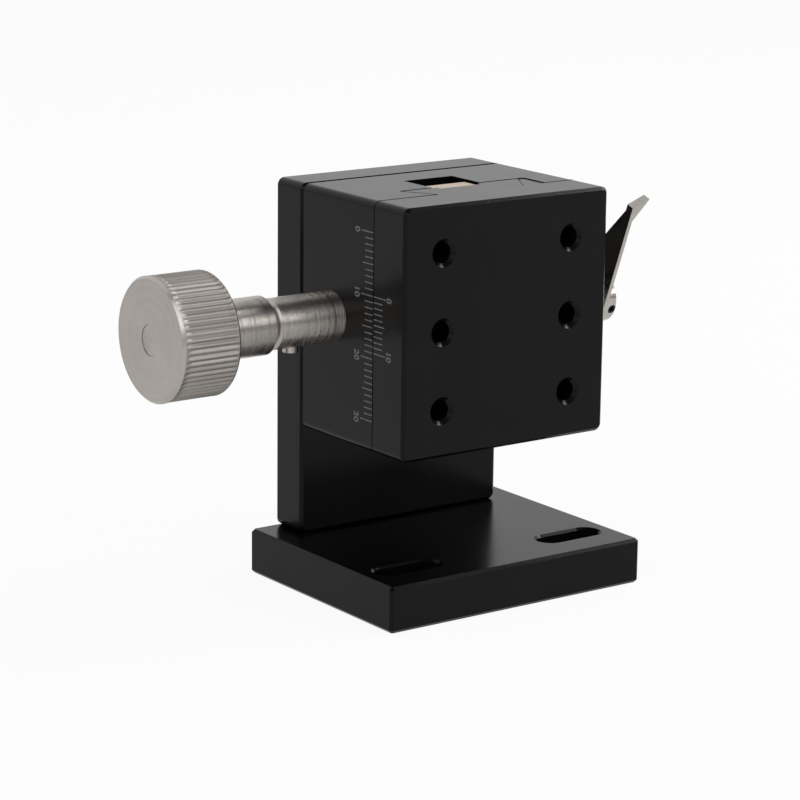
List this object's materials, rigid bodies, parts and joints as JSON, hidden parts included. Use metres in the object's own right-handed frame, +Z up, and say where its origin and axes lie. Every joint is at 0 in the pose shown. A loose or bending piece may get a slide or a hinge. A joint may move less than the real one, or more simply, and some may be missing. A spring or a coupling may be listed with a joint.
{
  "type": "vertical dovetail translation stage",
  "caption": "Vertical dovetail translation stage on an L bracket, moved by a rack and pinion with a knurled knob and locked by a clamp lever.",
  "frame": {"origin": "centre of the base plate's underside", "axes": "+Z up along the slide's travel, -Y to the front, where the table's tapped face looks, +X towards the clamp lever, with the knob at -X"},
  "size_m": [0.0819, 0.04, 0.0655],
  "materials": {
    "black_anodised": "black anodised, satin",
    "stainless": "turned stainless steel",
    "brass": "machined brass",
    "black_steel": "black oxide steel",
    "nylon": "natural nylon",
    "gib_steel": "blackened spring steel"
  },
  "bodies": {
    "frame": {"base_plate": "black_anodised", "vertical_plate": "black_anodised", "base_screws": "black_steel", "body_screws": "black_steel", "slide_body": "black_anodised", "gib": "gib_steel", "gib_screws": "black_steel", "pinion_sleeve": "stainless", "end_bush": "brass", "sleeve_set_screw": "stainless", "friction_plug": "nylon", "clamp_plug": "brass"},
    "table": {"stage_table": "black_anodised", "rack": "brass", "stop_pin": "stainless"},
    "knob_drive": {"pinion_shaft": "stainless", "knob": "stainless", "knob_set_screw": "black_steel"},
    "lever": {"clamp_lever": "stainless", "clamp_screw": "black_steel", "lever_set_screw": "black_steel"}
  },
  "joints": [
    {"name": "table_slide", "type": "slide", "parent": "frame", "child": "table", "axis": [0, 0, 1], "range_m": [-0.01, 0.01]},
    {"name": "knob_turn", "type": "hinge", "parent": "frame", "child": "knob_drive", "pos_m": [-0.04, 0.00415, 0.0455], "axis": [1, 0, 0], "range_deg": [-191.2, 191.2]},
    {"name": "clamp_lever_turn", "type": "hinge", "parent": "frame", "child": "lever", "pos_m": [0.024, -0.0045, 0.0448], "axis": [1, 0, 0], "range_deg": [0, 90]}
  ],
  "couplings": [
    {"joint": "knob_turn", "follows": "table_slide", "rad_per_m": -333.33}
  ]
}
